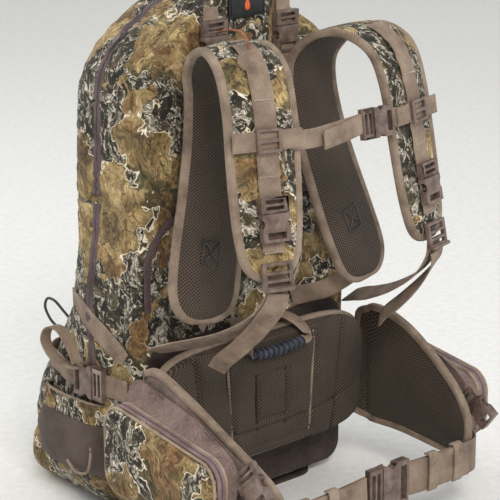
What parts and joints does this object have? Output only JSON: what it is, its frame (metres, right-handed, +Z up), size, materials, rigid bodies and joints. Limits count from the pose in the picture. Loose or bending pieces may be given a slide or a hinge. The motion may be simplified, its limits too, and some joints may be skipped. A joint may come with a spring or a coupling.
{
  "type": "hunting backpack",
  "caption": "Framed backpack with a zipped flap, lower pocket, mesh side pockets, padded shoulder harness with sternum strap, and a padded hip belt with pouches.",
  "frame": {"origin": "on the base panel's underside, in the middle of its rear edge at the foot of the back panel", "axes": "+Z up, +Y from the wearer to the bag's outer face, +X to the right of someone who looks at the harness"},
  "size_m": [0.432, 0.4663, 0.6118],
  "materials": {
    "camo_fabric": "brushed polyester with a leaf and bark pattern",
    "brown_fabric": "dark brown ripstop",
    "coyote_fabric": "mauve-brown packcloth",
    "spacer_mesh": "dark spacer mesh with coyote binding",
    "pocket_mesh": "stretch mesh",
    "webbing": "woven coyote webbing",
    "zip_tape": "coil zip with a water-shedding flap",
    "zip_metal": "painted zip sliders",
    "grip_rubber": "ribbed slate-blue rubber",
    "patch_rubber": "moulded patch",
    "elastic_cord": "round elastic cord",
    "stay_aluminium": "mill finish",
    "frame_plastic": "black polyethylene sheet",
    "pad_foam": "closed-cell foam",
    "buckle_plastic": "moulded acetal"
  },
  "bodies": {
    "pack": {"base_panel": "brown_fabric", "bag_shell": "camo_fabric", "lower_back_panel": "brown_fabric", "frame_sheet": "frame_plastic", "frame_stays": "stay_aluminium", "back_foam": "pad_foam", "hydration_sleeve": "brown_fabric", "lower_pocket": "camo_fabric", "mesh_side_pockets": "pocket_mesh", "cord_loops": "elastic_cord", "main_zipper_tape": "zip_tape", "access_zippers": "zip_tape", "pocket_zipper": "zip_tape", "side_straps": "webbing", "side_buckle_females": "buckle_plastic", "haul_handle": "webbing", "hydration_patch": "patch_rubber", "lumbar_pad": "spacer_mesh", "stabiliser_panels": "brown_fabric", "shoulder_strap_left": "spacer_mesh", "shoulder_strap_right": "spacer_mesh", "strap_ladder_webbing": "webbing", "harness_webbing": "webbing", "lifter_webbing": "webbing", "lifter_females": "buckle_plastic", "accessory_females": "buckle_plastic"},
    "flap": {"main_flap": "camo_fabric", "flap_zipper_tape": "zip_tape"},
    "main_slider_left": {"main_slider_left": "zip_metal"},
    "main_slider_right": {"main_slider_right": "zip_metal"},
    "access_slider_left": {"access_slider_left": "zip_metal"},
    "access_slider_right": {"access_slider_right": "zip_metal"},
    "pocket_slider": {"pocket_slider": "zip_metal"},
    "side_male_left": {"side_buckle_male_left": "buckle_plastic"},
    "side_male_right": {"side_buckle_male_right": "buckle_plastic"},
    "lifter_male_left": {"lifter_male_left": "buckle_plastic"},
    "lifter_male_right": {"lifter_male_right": "buckle_plastic"},
    "sternum_strap": {"sternum_webbing": "webbing", "sternum_sliders": "buckle_plastic", "sternum_female": "buckle_plastic"},
    "sternum_male": {"sternum_male": "buckle_plastic"},
    "accessory_male_left": {"accessory_male_left": "buckle_plastic"},
    "accessory_male_right": {"accessory_male_right": "buckle_plastic"},
    "ladder_lock_left": {"ladder_lock_left": "buckle_plastic"},
    "ladder_lock_right": {"ladder_lock_right": "buckle_plastic"},
    "lumbar_handle": {"lumbar_handle": "grip_rubber"},
    "wing_left": {"hip_wing_left": "spacer_mesh", "pouch_body_left": "coyote_fabric", "waist_webbing_left": "webbing", "waist_buckle_male": "buckle_plastic", "wing_buckle_left": "buckle_plastic"},
    "wing_right": {"hip_wing_right": "spacer_mesh", "pouch_body_right": "coyote_fabric", "waist_webbing_right": "webbing", "waist_buckle_female": "buckle_plastic", "wing_buckle_right": "buckle_plastic"},
    "pouch_door_left": {"pouch_face_left": "camo_fabric"},
    "pouch_door_right": {"pouch_face_right": "camo_fabric"},
    "pouch_slider_left": {"pouch_slider_left": "zip_metal"},
    "pouch_slider_right": {"pouch_slider_right": "zip_metal"}
  },
  "joints": [
    {"name": "flap_hinge", "type": "hinge", "parent": "pack", "child": "flap", "pos_m": [0, 0.137, 0.356], "axis": [-1, 0, 0], "range_deg": [0, 80]},
    {"name": "main_slider_left_travel", "type": "hinge", "parent": "pack", "child": "main_slider_left", "pos_m": [-0.06, 0.0738, 0.47], "axis": [0, -1, 0], "range_deg": [0, 44]},
    {"name": "access_slider_left_travel", "type": "hinge", "parent": "pack", "child": "access_slider_left", "pos_m": [-0.084, -0.0026, 0.29], "axis": [0, -1, 0], "range_deg": [0, 80]},
    {"name": "side_buckle_left_release", "type": "slide", "parent": "pack", "child": "side_male_left", "axis": [0, -1, 0], "range_m": [0, 0.03]},
    {"name": "lifter_buckle_left_release", "type": "slide", "parent": "pack", "child": "lifter_male_left", "axis": [0, 0, 1], "range_m": [0, 0.02]},
    {"name": "accessory_buckle_left_release", "type": "slide", "parent": "pack", "child": "accessory_male_left", "axis": [0.0637, 0.1685, 0.9836], "range_m": [0, 0.018]},
    {"name": "ladder_lock_left_tilt", "type": "hinge", "parent": "pack", "child": "ladder_lock_left", "pos_m": [-0.11643, -0.17332, 0.33563], "axis": [-0.9767, 0.213, 0.0268], "range_deg": [0, 45]},
    {"name": "main_slider_right_travel", "type": "hinge", "parent": "pack", "child": "main_slider_right", "pos_m": [0.06, 0.0738, 0.47], "axis": [0, 1, 0], "range_deg": [0, 44]},
    {"name": "access_slider_right_travel", "type": "hinge", "parent": "pack", "child": "access_slider_right", "pos_m": [0.084, -0.0026, 0.29], "axis": [0, 1, 0], "range_deg": [0, 80]},
    {"name": "side_buckle_right_release", "type": "slide", "parent": "pack", "child": "side_male_right", "axis": [0, -1, 0], "range_m": [0, 0.03]},
    {"name": "lifter_buckle_right_release", "type": "slide", "parent": "pack", "child": "lifter_male_right", "axis": [0, 0, 1], "range_m": [0, 0.02]},
    {"name": "accessory_buckle_right_release", "type": "slide", "parent": "pack", "child": "accessory_male_right", "axis": [-0.0637, 0.1685, 0.9836], "range_m": [0, 0.018]},
    {"name": "ladder_lock_right_tilt", "type": "hinge", "parent": "pack", "child": "ladder_lock_right", "pos_m": [0.11643, -0.17332, 0.33563], "axis": [-0.9767, -0.213, -0.0268], "range_deg": [0, 45]},
    {"name": "pocket_slider_travel", "type": "slide", "parent": "pack", "child": "pocket_slider", "axis": [1, 0, 0], "range_m": [0, 0.185]},
    {"name": "sternum_height", "type": "slide", "parent": "pack", "child": "sternum_strap", "axis": [0, 0.1688, 0.9856], "range_m": [-0.02, 0.03]},
    {"name": "sternum_release", "type": "slide", "parent": "sternum_strap", "child": "sternum_male", "axis": [-1, 0, 0], "range_m": [0, 0.02]},
    {"name": "lumbar_handle_swing", "type": "hinge", "parent": "pack", "child": "lumbar_handle", "pos_m": [0, -0.006, 0.219], "axis": [-1, 0, 0], "range_deg": [0, 50]},
    {"name": "belt_open_right", "type": "hinge", "parent": "pack", "child": "wing_right", "pos_m": [0.156, -0.027, 0], "axis": [0, 0, 1], "range_deg": [0, 30]},
    {"name": "belt_open_left", "type": "hinge", "parent": "pack", "child": "wing_left", "pos_m": [-0.156, -0.027, 0], "axis": [0, 0, 1], "range_deg": [-30, 0]},
    {"name": "pouch_left_open", "type": "hinge", "parent": "wing_left", "child": "pouch_door_left", "pos_m": [-0.2024, 0, 0.068], "axis": [0, -1, 0], "range_deg": [0, 60]},
    {"name": "pouch_slider_left_travel", "type": "hinge", "parent": "wing_left", "child": "pouch_slider_left", "pos_m": [-0.1965, -0.154, 0.11692], "axis": [1, 0, 0], "range_deg": [0, 65]},
    {"name": "pouch_right_open", "type": "hinge", "parent": "wing_right", "child": "pouch_door_right", "pos_m": [0.2024, 0, 0.068], "axis": [0, 1, 0], "range_deg": [0, 60]},
    {"name": "pouch_slider_right_travel", "type": "hinge", "parent": "wing_right", "child": "pouch_slider_right", "pos_m": [0.1965, -0.154, 0.11692], "axis": [1, 0, 0], "range_deg": [0, 65]}
  ],
  "couplings": [
    {"joint": "belt_open_left", "follows": "belt_open_right", "ratio": -1}
  ]
}
